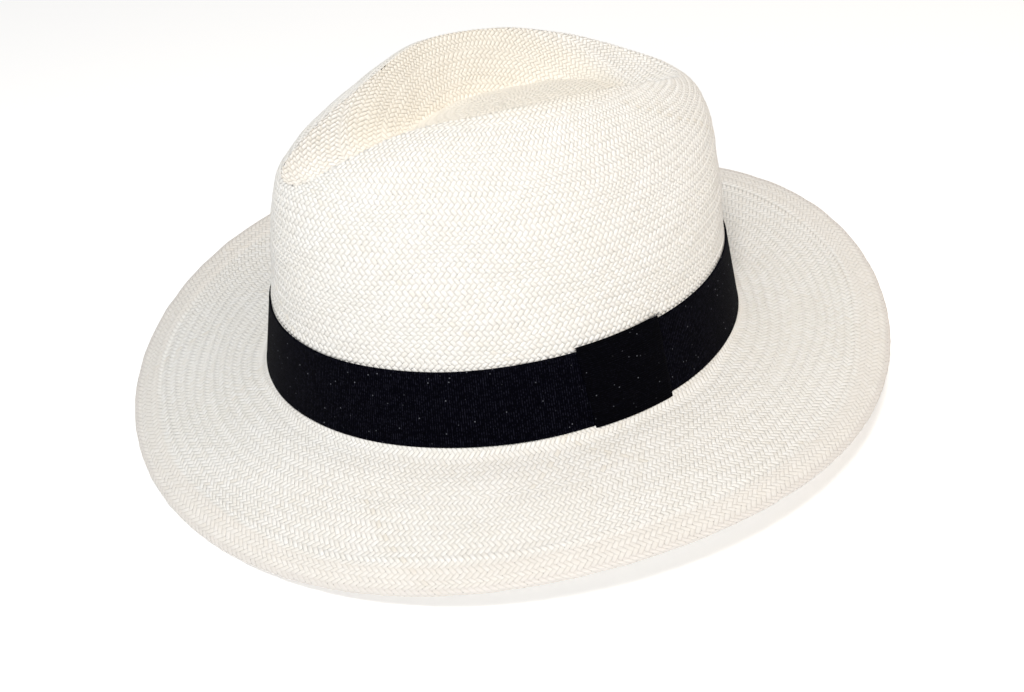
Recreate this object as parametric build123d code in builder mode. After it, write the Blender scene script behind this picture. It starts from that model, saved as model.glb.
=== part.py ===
"""Panama hat: woven toquilla straw body, ribbon band with its keeper, and a sewn-in sweatband.

Millimetres.  +Z is up, -Y is the front, +X is the wearer's left.  The origin is the centre of the
head opening, at the height where the brim breaks away from the crown.
"""
from build123d import *
from math import cos, pi, sin, sqrt
import os

os.makedirs("parts", exist_ok=True)

# ---- driving dimensions -------------------------------------------------------------------------
straw = 1.3  # thickness of the woven straw
opening_length = 102.5  # half the crown's outer length at the brim break
opening_width = 87.6  # half its outer width there
ring_points = 36  # points on each ring of the woven surface

# Crown: it leans in from the break to the band's top, then curves over to the ridge.
lean_height = 34.0
lean_length = 97.9
lean_width = 79.3
side_shares = (0.2, 0.4, 0.58, 0.74, 0.88)

# The ridge is one ring round the crease: two long crests that meet at the nose and at the back.
ridge_crest = 118.4
ridge_crest_y = -12.0
ridge_fall = 0.0025  # height lost per mm squared away from the crest
nose_fall = 0.0028  # extra fall towards the nose
nose_start_y = -45.0
ridge_centre_y = -2.5
ridge_reach = 88.5
ridge_width = 39.5
ridge_pinch = 13.0  # how much nearer the crests stand at the front
wall_shares = (0.3, 0.65)

# Floor of the crease.
crease_floor = 94.5
crease_centre_y = 5.0
crease_reach = 53.0
crease_width = 26.5
crease_pinch = 0.3

# Brim, measured from the break out to its edge.
brim_width = 65.0
brim_side_extra = 4.3  # wider at the sides, narrower at the front and the back
brim_level = -6.7  # mean height of the edge
brim_snap = -12.1  # front edge down, back edge up
brim_roll = -2.7
brim_wave = -3.2
brim_ripple = 1.9
brim_lean = -4.2  # wearer's left edge lower than the right
brim_dish = 1.35  # how late the brim turns: 1 is a straight cone
hem_width = 11.0
brim_shares = (0.62, 0.36, 0.16)

# Ribbon band and its keeper, outside the crown.
ribbon = 0.8
fit_gap = 0.1
band_bottom = 3.0
band_top = 33.6
keeper_front_y = -14.5
keeper_back_y = 23.0
keeper_overhang = 1.3  # how far the keeper wraps past the band's edges

# Sweatband, inside the crown.
leather = 1.0
sweat_gap = 0.15
sweat_bottom = 1.2
sweat_top = 33.5
reed_radius = 1.0
thread_radius = 0.3

sweat_outside = -straw - sweat_gap  # offsets from the crown's outer face
sweat_inside = sweat_outside - leather

# Thread, tape, tab and bow.
thread_gap = 0.2
hem_stitches = 96
hem_stitch_half_turn = 0.016
sweat_stitches = 72
sweat_stitch_half_turn = 0.018
sweat_stitch_height = 3.2
tack_degrees = (20.0, 75.0, 118.0, 180.0, 240.0, 300.0)  # from the front, round by the left
tack_length = 2.4
tack_outset = fit_gap + ribbon + 2 * thread_radius
trim_outside = sweat_inside - 0.1
tape_thickness = 0.4
tape_width = 8.0
tape_bottom = 5.5
tape_top = 32.5
tab_width = 12.0
tab_centre_x = 17.0
tab_bottom = 9.0
tab_top = 24.0
bow_height = 12.0
bow_ribbon = 4.0
bow_thickness = 0.5
bow_loop_reach = 6.5
bow_loop_depth = 1.8
bow_knot = 3.0
bow_gap = 0.8

# The crown's leaning foot, carried on a little past both ends: height, half width, half length.
wall_rows = []
for wall_share in (-0.1, 1.1):
    wall_half_width = opening_width + wall_share * (lean_width - opening_width)
    wall_half_length = opening_length + wall_share * (lean_length - opening_length)
    wall_rows.append((wall_share * lean_height, wall_half_width, wall_half_length))

tall = 400.0  # larger than the hat, for cutting tools


# ---- shared shapes ------------------------------------------------------------------------------
def smooth_step(value):
    """0 below 0, 1 above 1, smooth between."""
    held = min(max(value, 0.0), 1.0)
    return held * held * (3 - 2 * held)


def loft_wall(grow, mode=Mode.ADD):
    """The leaning foot of the crown as a solid block, grown by an amount."""
    sections = []
    for height, half_width, half_length in wall_rows:
        with BuildSketch(Plane.XY.offset(height)) as oval:
            Ellipse(half_width + grow, half_length + grow)
        sections.append(oval.sketch)
    loft(sections, ruled=True, mode=mode)


def keep_between(bottom, top):
    """Trim the part to a range of heights."""
    with Locations((0, 0, (bottom + top) / 2)):
        Box(tall, tall, top - bottom, mode=Mode.INTERSECT)


def wall_point(turn, height, grow=0.0):
    """A point of the crown's leaning foot, moved out; turn is 0 at the front, then to the left."""
    share = height / lean_height
    half_width = opening_width + share * (lean_width - opening_width) + grow
    half_length = opening_length + share * (lean_length - opening_length) + grow
    return Vector(half_width * sin(turn), -half_length * cos(turn), height)


def ridge_point(turn):
    forward = cos(turn)
    y = ridge_centre_y - ridge_reach * forward
    side = abs(sin(turn)) ** (0.85 if forward > 0 else 1.0)
    half_width = ridge_width - ridge_pinch * smooth_step((forward + 0.05) / 0.75)
    x = half_width * side * (1 if sin(turn) > 0 else -1)
    extra = nose_fall * min(y - nose_start_y, 0.0) ** 2
    return Vector(x, y, ridge_crest - ridge_fall * (y - ridge_crest_y) ** 2 - extra)


def crease_point(turn):
    half_width = crease_width * (1 - crease_pinch * smooth_step(cos(turn)))
    y = crease_centre_y - crease_reach * cos(turn)
    return Vector(half_width * sin(turn), y, crease_floor)


def curve_point(share, start, start_pull, end_pull, end):
    """A point part of the way along a curve, given its ends and the points it is pulled towards."""
    rest = 1 - share
    curve = start * rest**3 + start_pull * (3 * rest**2 * share)
    return curve + end_pull * (3 * rest * share**2) + end * share**3


def side_point(turn, share):
    """Crown side, from the band's top to the ridge."""
    start, end = wall_point(turn, lean_height), ridge_point(turn)
    run = end - start
    start_pull = start + Vector(0.2 * run.X, 0.2 * run.Y, 0.4 * run.Z)
    end_pull = end - Vector(0.5 * run.X, 0.5 * run.Y, 0.03 * run.Z)
    return curve_point(share, start, start_pull, end_pull, end)


def inside_point(turn, share):
    """Wall of the crease, from the ridge down to the floor."""
    start, end = ridge_point(turn), crease_point(turn)
    run = end - start
    start_pull = start + Vector(0.35 * run.X, 0.35 * run.Y, 0)
    end_pull = end - Vector(0.25 * run.X, 0.25 * run.Y, 0.35 * run.Z)
    return curve_point(share, start, start_pull, end_pull, end)


def edge_height(turn):
    """Height of the brim's edge."""
    return (
        brim_level
        + brim_snap * cos(turn)
        + brim_roll * cos(2 * turn)
        + brim_wave * cos(3 * turn)
        + brim_ripple * cos(4 * turn)
        + brim_lean * sin(turn)
    )


def edge_reach(turn):
    """Level distance from the break to the brim's edge."""
    slant = brim_width - brim_side_extra * cos(2 * turn)
    return sqrt(slant**2 - edge_height(turn) ** 2)


def brim_point(turn, inset, drop=0.0):
    """A point of the brim, a level distance inside its edge."""
    reach = edge_reach(turn) - inset
    height = edge_height(turn) * (reach / edge_reach(turn)) ** brim_dish
    x, y = (opening_width + reach) * sin(turn), -(opening_length + reach) * cos(turn)
    return Vector(x, y, height - drop)


def brim_share_point(turn, share, drop=0.0):
    return brim_point(turn, edge_reach(turn) * (1 - share), drop)


def ring(place):
    """Smooth closed curve through the points of a ring."""
    turns = [2 * pi * step / ring_points for step in range(ring_points)]
    return Edge.make_spline([place(turn) for turn in turns], periodic=True)


def strips(rings):
    """Ruled faces, each from one ring to the next."""
    return [Face.make_surface_from_curves(first, second) for first, second in zip(rings, rings[1:])]


def under(before, place, after, thickness):
    """The place of a ring on the inner face, square to the surface that its neighbours span."""

    def moved(turn):
        along = after(turn) - before(turn)
        around = place(turn + 0.01) - place(turn - 0.01)
        return place(turn) - around.cross(along).normalized() * thickness

    return moved


def across(heading):
    """Unit vector level with the ground, at right angles to a heading."""
    return Vector(heading.Y, -heading.X, 0).normalized()


def stitch(start, end, radius):
    """One straight stitch of thread between two points."""
    run = end - start
    with Locations(Plane(origin=(start + end) / 2, x_dir=across(run), z_dir=run)):
        Cylinder(radius, run.length)


# ---- straw body ---------------------------------------------------------------------------------
# Crown and brim are woven in one piece.  The last stretch of the brim is turned under as a hem.
# The woven surface is a stack of rings, from the brim's edge up over the ridge to the crease.
upper_places = [lambda turn: brim_point(turn, 0.0), lambda turn: brim_point(turn, hem_width)]
for share in brim_shares:
    upper_places.append(lambda turn, share=share: brim_share_point(turn, share))
upper_places.append(lambda turn: wall_point(turn, 0.0))
upper_places.append(lambda turn: wall_point(turn, lean_height))
for share in side_shares:
    upper_places.append(lambda turn, share=share: side_point(turn, share))
upper_places.append(ridge_point)
for share in wall_shares:
    upper_places.append(lambda turn, share=share: inside_point(turn, share))
upper_places.append(crease_point)

brim_count = 2 + len(brim_shares)
lower_places = [
    lambda turn: brim_point(turn, 0.4, 2 * straw),
    lambda turn: brim_point(turn, hem_width, 2 * straw),
    lambda turn: brim_point(turn, hem_width, straw),
]
for share in brim_shares:
    lower_places.append(lambda turn, share=share: brim_share_point(turn, share, straw))
lower_places.append(lambda turn: wall_point(turn, -straw, -straw))
lower_places.append(lambda turn: wall_point(turn, lean_height, -straw))
for before, place, after in zip(upper_places[6:], upper_places[7:], upper_places[8:]):
    lower_places.append(under(before, place, after, straw))
lower_places.append(lambda turn: crease_point(turn) - Vector(0, 0, straw))

upper_rings = [ring(place) for place in upper_places]
lower_rings = [ring(place) for place in lower_places]
edge_strip = strips([lower_rings[0], upper_rings[0]])
floors = [Face(Wire([rings[-1]])) for rings in (upper_rings, lower_rings)]

with BuildPart() as straw_body:
    add(Solid(Shell(strips(upper_rings) + strips(lower_rings) + edge_strip + floors)))

straw_body.part.label = "straw_body"
export_step(straw_body.part, "parts/straw_body.step")


# ---- hem stitching ------------------------------------------------------------------------------
# A ring of running stitches under the brim, just inside the turned edge.
stitch_inset = hem_width + 3 * thread_radius
stitch_drop = straw + thread_radius + thread_gap

with BuildPart() as hem_stitching:
    for index in range(hem_stitches):
        middle = 2 * pi * index / hem_stitches
        first = brim_point(middle - hem_stitch_half_turn, stitch_inset, stitch_drop)
        last = brim_point(middle + hem_stitch_half_turn, stitch_inset, stitch_drop)
        stitch(first, last, thread_radius)

hem_stitching.part.label = "hem_stitching"
export_step(hem_stitching.part, "parts/hem_stitching.step")


# ---- ribbon band --------------------------------------------------------------------------------
with BuildPart() as ribbon_band:
    loft_wall(fit_gap + ribbon)
    loft_wall(fit_gap, mode=Mode.SUBTRACT)
    keep_between(band_bottom, band_top)

ribbon_band.part.label = "ribbon_band"
export_step(ribbon_band.part, "parts/ribbon_band.step")


# ---- band keeper --------------------------------------------------------------------------------
# A flat piece of the same ribbon, wrapped round the band on the wearer's left over its join.
with BuildPart() as band_space:
    loft_wall(2 * fit_gap + ribbon)
    keep_between(band_bottom - fit_gap, band_top + fit_gap)

with BuildPart() as band_keeper:
    loft_wall(2 * fit_gap + 2 * ribbon)
    loft_wall(fit_gap, mode=Mode.SUBTRACT)
    keep_between(band_bottom - keeper_overhang, band_top + keeper_overhang)
    with Locations((tall / 2, (keeper_front_y + keeper_back_y) / 2, 0)):
        Box(tall, keeper_back_y - keeper_front_y, tall, mode=Mode.INTERSECT)
    add(band_space.part, mode=Mode.SUBTRACT)

band_keeper.part.label = "band_keeper"
export_step(band_keeper.part, "parts/band_keeper.step")


# ---- band tacks ---------------------------------------------------------------------------------
# Short hand stitches that hold the band's upper edge to the straw.
with BuildPart() as band_tacks:
    for degrees_round in tack_degrees:
        turn = degrees_round * pi / 180
        low = wall_point(turn, band_top - tack_length, tack_outset)
        high = wall_point(turn, band_top - fit_gap, tack_outset)
        stitch(low, high, thread_radius)

band_tacks.part.label = "band_tacks"
export_step(band_tacks.part, "parts/band_tacks.step")


# ---- sweatband ----------------------------------------------------------------------------------
with BuildPart() as sweatband:
    loft_wall(sweat_outside)
    loft_wall(sweat_inside, mode=Mode.SUBTRACT)
    keep_between(sweat_bottom, sweat_top)

sweatband.part.label = "sweatband"
export_step(sweatband.part, "parts/sweatband.step")


# ---- sweatband reed -----------------------------------------------------------------------------
# The round reed under the sweatband's lower edge, which it is rolled over and sewn along.
with BuildPart() as sweatband_reed:
    reed_width = opening_width + sweat_outside - reed_radius
    reed_length = opening_length + sweat_outside - reed_radius
    with BuildLine() as reed_path:
        EllipticalCenterArc((0, 0), reed_width, reed_length, start_angle=0, arc_size=360)
    with BuildSketch(Plane(origin=(reed_width, 0, 0), z_dir=(0, 1, 0))):
        Circle(reed_radius)
    sweep()

sweatband_reed.part.label = "sweatband_reed"
export_step(sweatband_reed.part, "parts/sweatband_reed.step")


# ---- sweatband stitching ------------------------------------------------------------------------
with BuildPart() as sweatband_stitching:
    stitch_ring = sweat_inside - thread_radius - 2 * thread_gap
    for index in range(sweat_stitches):
        middle = 2 * pi * index / sweat_stitches
        first = wall_point(middle - sweat_stitch_half_turn, sweat_stitch_height, stitch_ring)
        last = wall_point(middle + sweat_stitch_half_turn, sweat_stitch_height, stitch_ring)
        stitch(first, last, thread_radius)

sweatband_stitching.part.label = "sweatband_stitching"
export_step(sweatband_stitching.part, "parts/sweatband_stitching.step")


# ---- sweatband seam tape ------------------------------------------------------------------------
# Covers the join of the sweatband's two ends, at the back of the head.
with BuildPart() as sweatband_seam_tape:
    loft_wall(trim_outside)
    loft_wall(trim_outside - tape_thickness, mode=Mode.SUBTRACT)
    keep_between(tape_bottom, tape_top)
    with Locations((0, tall / 2, 0)):
        Box(tape_width, tall, tall, mode=Mode.INTERSECT)

sweatband_seam_tape.part.label = "sweatband_seam_tape"
export_step(sweatband_seam_tape.part, "parts/sweatband_seam_tape.step")


# ---- size tab -----------------------------------------------------------------------------------
with BuildPart() as size_tab:
    loft_wall(trim_outside)
    loft_wall(trim_outside - tape_thickness, mode=Mode.SUBTRACT)
    keep_between(tab_bottom, tab_top)
    with Locations((tab_centre_x, tall / 2, 0)):
        Box(tab_width, tall, tall, mode=Mode.INTERSECT)

size_tab.part.label = "size_tab"
export_step(size_tab.part, "parts/size_tab.step")


# ---- sweatband bow ------------------------------------------------------------------------------
# The small flat bow that marks the back of the hat: two loops of narrow ribbon and a knot.
with BuildPart() as sweatband_bow:
    bow_back = wall_point(pi, bow_height, trim_outside - tape_thickness - bow_gap).Y
    bow_middle = bow_back - bow_loop_depth
    with BuildSketch(Plane.XY.offset(bow_height - bow_ribbon / 2)):
        with Locations((-bow_loop_reach, bow_middle), (bow_loop_reach, bow_middle)):
            Ellipse(bow_loop_reach, bow_loop_depth)
            Ellipse(
                bow_loop_reach - bow_thickness,
                bow_loop_depth - bow_thickness,
                mode=Mode.SUBTRACT,
            )
        with Locations((0, bow_middle)):
            Rectangle(bow_knot, 2 * bow_loop_depth)
    extrude(amount=bow_ribbon)

sweatband_bow.part.label = "sweatband_bow"
export_step(sweatband_bow.part, "parts/sweatband_bow.step")
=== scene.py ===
"""Looks of the panama hat: woven straw shell, grosgrain band and keeper, leather sweatband.

Metres in Blender; sizes below are named in millimetres and scaled once, when a mesh is made.
+Z is up, -Y is the front, +X is the wearer's left, and a turn is 0 at the front, then to the left.
"""
from math import cos, pi, radians, sin

import bpy
import numpy as np
from mathutils import Matrix, Vector


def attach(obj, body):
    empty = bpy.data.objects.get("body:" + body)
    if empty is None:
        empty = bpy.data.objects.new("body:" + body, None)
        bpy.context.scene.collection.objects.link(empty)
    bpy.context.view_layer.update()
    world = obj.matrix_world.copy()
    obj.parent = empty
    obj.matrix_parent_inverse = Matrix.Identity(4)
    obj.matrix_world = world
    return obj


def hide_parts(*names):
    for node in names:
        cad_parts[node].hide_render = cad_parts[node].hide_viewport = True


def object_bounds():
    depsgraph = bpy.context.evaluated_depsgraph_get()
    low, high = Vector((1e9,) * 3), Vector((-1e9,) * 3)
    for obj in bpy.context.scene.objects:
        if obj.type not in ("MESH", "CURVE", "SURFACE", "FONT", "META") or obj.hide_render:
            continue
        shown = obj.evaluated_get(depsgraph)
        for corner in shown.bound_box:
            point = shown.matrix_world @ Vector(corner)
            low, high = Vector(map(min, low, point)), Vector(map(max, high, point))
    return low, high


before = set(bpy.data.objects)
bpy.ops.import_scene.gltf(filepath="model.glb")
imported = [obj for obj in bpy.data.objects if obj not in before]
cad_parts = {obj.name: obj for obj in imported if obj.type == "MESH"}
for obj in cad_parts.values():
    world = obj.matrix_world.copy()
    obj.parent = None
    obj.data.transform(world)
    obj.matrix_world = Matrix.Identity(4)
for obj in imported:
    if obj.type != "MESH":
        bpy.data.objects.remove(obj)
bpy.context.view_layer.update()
MM = 0.001

# ---- the hat's driving dimensions, as in the CAD model ------------------------------------------
STRAW = 1.3
OPENING_LENGTH = 102.5
OPENING_WIDTH = 87.6
LEAN_HEIGHT = 34.0
LEAN_LENGTH = 97.9
LEAN_WIDTH = 79.3
RIDGE_CREST = 118.4
RIDGE_CREST_Y = -12.0
RIDGE_FALL = 0.0025
NOSE_FALL = 0.0028
NOSE_START_Y = -45.0
RIDGE_CENTRE_Y = -2.5
RIDGE_REACH = 88.5
RIDGE_WIDTH = 39.5
RIDGE_PINCH = 13.0
CREASE_FLOOR = 94.5
CREASE_CENTRE_Y = 5.0
CREASE_REACH = 53.0
CREASE_WIDTH = 26.5
CREASE_PINCH = 0.3
BRIM_WIDTH = 65.0
BRIM_SIDE_EXTRA = 4.3
BRIM_LEVEL = -6.7
BRIM_SNAP = -12.1
BRIM_ROLL = -2.7
BRIM_WAVE = -3.2
BRIM_RIPPLE = 1.9
BRIM_LEAN = -4.2
BRIM_DISH = 1.35
HEM_WIDTH = 11.0
BAND_BOTTOM = 3.0
BAND_TOP = 33.6

# ---- finer dimensions that only the looks need --------------------------------------------------
FILLET = 6.0  # reach of the curve between brim and crown
DOME = 7.0  # rise of the crown's tip inside the crease
RIDGE_EDGE = 0.7  # how far the pressed ridge stands up
FAR_PINCH = 3.4  # how much further in the wearer's right ridge is pressed near the nose
FAR_DROP = 1.6  # how much lower it is there
BACK_BULGE = 4.4  # how far the crown's back stands out between the band and the ridge
NOSE_DIP = 3.6  # how far the valley dips just behind the nose
JOIN_HEIGHT = 10.0  # where the brim's mesh meets the crown's, under the band
EDGE_ROUND = 1.3  # how far the brim's rounded edge stands out
RELIEF = 0.42  # depth of the woven relief
RELIEF_MIDDLE = 0.55  # the share of the depth that lies below the surface
RELIEF_SHADE = 0.64  # how much of the relief's slope the normals show
CROWN_ZIGZAG = 0.15  # how far the straws steepen across each row, as a share of a cell
BRIM_ZIGZAG = 0.04  # the same for the brim
BRIM_GROOVE = 0.55  # the brim's straws lie closer together, so the lines between them are shallow
BRIM_ROWS = 31  # rows of the weave from the brim's edge to the join
HEM_ROWS = 5  # rows taken up by the hem
INCREASE_ROW = 17  # where straws were added as the brim widened
OUTER_CELLS = 384  # pairs of straws round the outer brim, inner brim and crown
INNER_CELLS = 306
CROWN_CELLS = 220
CROWN_ROWS = 96  # rows from the join to the middle of the tip
DENT_ROW = 62  # the crown's row at the ridge; warm bounce light inside the dent is painted into the straw's colour
STRAW_SLIP = 0.055  # how unevenly the straws lie, as a share of a cell
STRAW_LIFT = 0.07  # how unevenly they stand up, as a share of the relief
UNDER_COLUMNS = 240  # columns of the plain face under the brim
NARROWEST_CELL = 1.75  # a pair of straws is dropped when the weave gets this tight
WIDEST_CELL = 2.3
RIBS_ROUND = 662  # grosgrain ribs round the band
RIB_PITCH = 0.885
RIB_DEPTH = 0.12
BAND_OUT = 0.92  # the band's outer face, out from the straw
KEEPER_OUT = 1.75  # the keeper's outer face, out from the straw
KEEPER_PROUD = 1.3  # how far the keeper reaches past the band's edges
KEEPER_LIP = 0.45  # how much further it reaches at the top
KEEPER_CORNER = 0.75  # radius of its folds
KEEPER_TOP = 35.4  # heights between which its two edges slant, and their y at each
KEEPER_LOW = 1.7
KEEPER_FRONT_TOP = -14.8
KEEPER_FRONT_LOW = -11.8
KEEPER_BACK_TOP = 24.0
KEEPER_BACK_LOW = 25.6
TACK_DEGREES = (20.0, 75.0, 118.0, 180.0, 240.0, 300.0)
HEM_STITCHES = 96
SWEAT_STITCHES = 72
STITCH_RADIUS = 0.27  # of the hem's and the sweatband's thread
TACK_RADIUS = 0.13
FRAY_RADIUS = 0.075
SWEAT_COLUMNS = 480  # columns of the sweatband and its reed
LEATHER_CELLS = 560
REED_OUT = -2.45  # centre of the reed, out from the crown's face
REED_RADIUS = 0.98
REED_SIDES = 14
BOW_HEIGHT = 12.0
BOW_RIB = 0.45  # width of one rib of the bow's ribbon
STRAW_LIGHT = (0.925, 0.910, 0.882)
STRAW_DARK = (0.865, 0.838, 0.785)
STRAW_PATCH = (0.915, 0.893, 0.853)
# painted warm bounce light inside the dent
PAINTED_DENT_BOUNCE = (0.92, 0.865, 0.76)
STRAW_TAN = (0.76, 0.67, 0.52)
# painted shade in the lines between the straws
STRAW_GAP_SHADE = (0.55, 0.46, 0.34)
HEM_TINT = (0.90, 0.845, 0.78)
# painted shade along the brim's rounded edge
RIM_SHADE = (0.78, 0.73, 0.69)
RIB_HIGHLIGHT = (0.014, 0.014, 0.024)  # painted highlight along the tops of the ribs
LINT = (0.20, 0.21, 0.24)
FLOOR_REACH = 6.0  # in metres, like the rest of the stage
FLOOR_GAP = 0.0005


# ---- surfaces -----------------------------------------------------------------------------------
def smooth_step(value):
    held = np.clip(value, 0.0, 1.0)
    return held * held * (3 - 2 * held)


def point(x, y, z):
    return np.stack(np.broadcast_arrays(x, y, z), axis=-1).astype(float)


def bell(value):
    return np.exp(-(value**2))


def wall_half_width(height, grow):
    return OPENING_WIDTH + height / LEAN_HEIGHT * (LEAN_WIDTH - OPENING_WIDTH) + grow


def wall_half_length(height, grow):
    return OPENING_LENGTH + height / LEAN_HEIGHT * (LEAN_LENGTH - OPENING_LENGTH) + grow


def wall_point(turn, height, grow=0.0):
    """A point of the upright wall, moved out by grow."""
    x = wall_half_width(height, grow) * np.sin(turn)
    return point(x, -wall_half_length(height, grow) * np.cos(turn), height)


def ridge_point(turn):
    forward = np.cos(turn)
    y = RIDGE_CENTRE_Y - RIDGE_REACH * forward
    blunt = 1.0 - 0.15 * smooth_step(forward * 4)
    half_width = RIDGE_WIDTH - RIDGE_PINCH * smooth_step((forward + 0.05) / 0.75)
    far = smooth_step(-1.5 * np.sin(turn)) * smooth_step(1.8 * forward)
    half_width = half_width - FAR_PINCH * far
    x = half_width * np.abs(np.sin(turn)) ** blunt * np.sign(np.sin(turn))
    extra = NOSE_FALL * np.minimum(y - NOSE_START_Y, 0.0) ** 2 + FAR_DROP * far
    return point(x, y, RIDGE_CREST - RIDGE_FALL * (y - RIDGE_CREST_Y) ** 2 - extra)


def crease_point(turn):
    half_width = CREASE_WIDTH * (1 - CREASE_PINCH * smooth_step(np.cos(turn)))
    y = CREASE_CENTRE_Y - CREASE_REACH * np.cos(turn)
    return point(half_width * np.sin(turn), y, CREASE_FLOOR)


def curve_point(share, start, end, start_pull, end_pull):
    """A cubic curve; each pull is how far along the run, on each axis, it heads at that end."""
    run, rest = end - start, 1 - share
    after_start, before_end = start + run * np.array(start_pull), end - run * np.array(end_pull)
    curve = start * rest**3 + after_start * (3 * rest**2 * share)
    return curve + before_end * (3 * rest * share**2) + end * share**3


def side_point(turn, share):
    start, end = wall_point(turn, LEAN_HEIGHT), ridge_point(turn)
    place = curve_point(share, start, end, start_pull=(0.2, 0.2, 0.4), end_pull=(0.5, 0.5, 0.03))
    place[..., 2] += RIDGE_EDGE * np.exp((share - 1) / 0.05)
    place[..., 1] += BACK_BULGE * np.sin(pi * share**1.3) * smooth_step(-np.cos(turn))
    return place


def inside_point(turn, share):
    start, end = ridge_point(turn), crease_point(turn)
    place = curve_point(share, start, end, start_pull=(0.22, 0.22, 0.16), end_pull=(0.25, 0.25, 0.35))
    at_nose = smooth_step((np.cos(turn) - 0.62) / 0.38)
    place[..., 2] += RIDGE_EDGE * np.exp(-share / 0.10)
    place[..., 2] -= NOSE_DIP * at_nose * np.sin(pi * share**0.7) ** 1.5
    return place


def floor_point(turn, share):
    """The crown's own tip, domed inside the crease; share is 0 at the crease, 1 at the centre."""
    rim = crease_point(turn)
    centre = np.array([0.0, CREASE_CENTRE_Y, CREASE_FLOOR])
    place = rim + (centre - rim) * share
    place[..., 2] += DOME * (1 - (1 - share) ** 2.2)
    return place


def edge_height(turn):
    return (
        BRIM_LEVEL
        + BRIM_SNAP * np.cos(turn)
        + BRIM_ROLL * np.cos(2 * turn)
        + BRIM_WAVE * np.cos(3 * turn)
        + BRIM_RIPPLE * np.cos(4 * turn)
        + BRIM_LEAN * np.sin(turn)
    )


def edge_reach(turn):
    slant = BRIM_WIDTH - BRIM_SIDE_EXTRA * np.cos(2 * turn)
    return np.sqrt(slant**2 - edge_height(turn) ** 2)


def brim_point(turn, reach):
    """A point of the brim, a level distance out from the break."""
    share = np.maximum(reach / edge_reach(turn), 0.0)
    x = (OPENING_WIDTH + reach) * np.sin(turn)
    y = -(OPENING_LENGTH + reach) * np.cos(turn)
    return point(x, y, edge_height(turn) * share**BRIM_DISH)


def break_point(turn, share):
    """The rounded turn from the brim up into the crown."""
    start, corner = brim_point(turn, FILLET), wall_point(turn, 0.0)
    end = wall_point(turn, FILLET)
    rest = 1 - share
    return start * rest**2 + corner * (2 * rest * share) + end * share**2


# ---- mesh helpers -------------------------------------------------------------------------------
def unit(vectors):
    return vectors / np.linalg.norm(vectors, axis=-1, keepdims=True)


def step_lengths(places, axis=0):
    """Distances between neighbouring points along one axis of a line or a grid."""
    return np.linalg.norm(np.diff(places, axis=axis), axis=-1)


def running_total(steps):
    return np.concatenate([[0], np.cumsum(steps)])


def resample(wanted, share, places):
    """Points at the wanted shares along a line of points."""
    return np.stack([np.interp(wanted, share, places[:, axis]) for axis in range(3)], -1)


def round_from_back(columns):
    """Even shares of the way round the hat, starting at the back, and their turns."""
    fractions = np.arange(columns) / columns
    return fractions, pi + 2 * pi * fractions


def mesh_object(name, verts, faces, uvs=None, normals=None):
    """Mesh from millimetre points; uvs and normals hold one row for each corner of each face."""
    mesh = bpy.data.meshes.new(name)
    mesh.from_pydata([tuple(v) for v in np.asarray(verts) * MM], [], faces)
    if uvs is not None:
        layer = mesh.uv_layers.new(name="weave")
        layer.data.foreach_set("uv", np.asarray(uvs, dtype=float).ravel())
    mesh.polygons.foreach_set("use_smooth", [True] * len(mesh.polygons))
    mesh.update()
    if normals is not None:
        mesh.normals_split_custom_set([tuple(k) for k in normals])
    piece = bpy.data.objects.new(name, mesh)
    bpy.context.scene.collection.objects.link(piece)
    return piece


def grid_faces(rows, columns, wrap_columns=False):
    """Quads over a grid of points, as an array of (row, column) corners."""
    column_steps = columns if wrap_columns else columns - 1
    r, c = np.meshgrid(np.arange(rows - 1), np.arange(column_steps), indexing="ij")
    r, c = r.ravel(), c.ravel()
    corners = [(r, c), (r, c + 1), (r + 1, c + 1), (r + 1, c)]
    return np.stack([np.stack(corner, axis=-1) for corner in corners], axis=1)


def tube_rings(path, radius, sides):
    """Rings of points round a path, as an array of (step, side, 3)."""
    path = np.asarray(path, dtype=float)
    heading = unit(np.gradient(path, axis=0))
    leaning_up = np.array([0.13, 0.21, 0.97])  # the rings' sides are squared to this
    side = unit(np.cross(heading, leaning_up))
    above = np.cross(side, heading)
    angle = 2 * pi * np.arange(sides) / sides
    round_side = side[:, None] * np.cos(angle)[None, :, None]
    round_above = above[:, None] * np.sin(angle)[None, :, None]
    radius = np.broadcast_to(np.asarray(radius, dtype=float), len(path))
    return path[:, None] + (round_side + round_above) * radius[:, None, None]


def threads_object(name, paths, radius, sides=7, taper=0.5):
    """Many short closed threads in one mesh; each narrows to taper at its two ends."""
    verts, faces, start = [], [], 0
    for path in paths:
        steps = len(path)
        ends = np.abs(np.linspace(-1, 1, steps)) ** 6
        rings = tube_rings(path, radius * (1 - (1 - taper) * ends), sides)
        verts.append(rings.reshape(-1, 3))
        corners = grid_faces(steps, sides, wrap_columns=True)
        index = start + corners[..., 0] * sides + corners[..., 1] % sides
        faces.extend(index[:, ::-1].tolist())
        faces.append([start + k for k in range(sides)])
        faces.append([start + steps * sides - 1 - k for k in range(sides)])
        start += steps * sides
    return mesh_object(name, np.concatenate(verts), faces)


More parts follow.
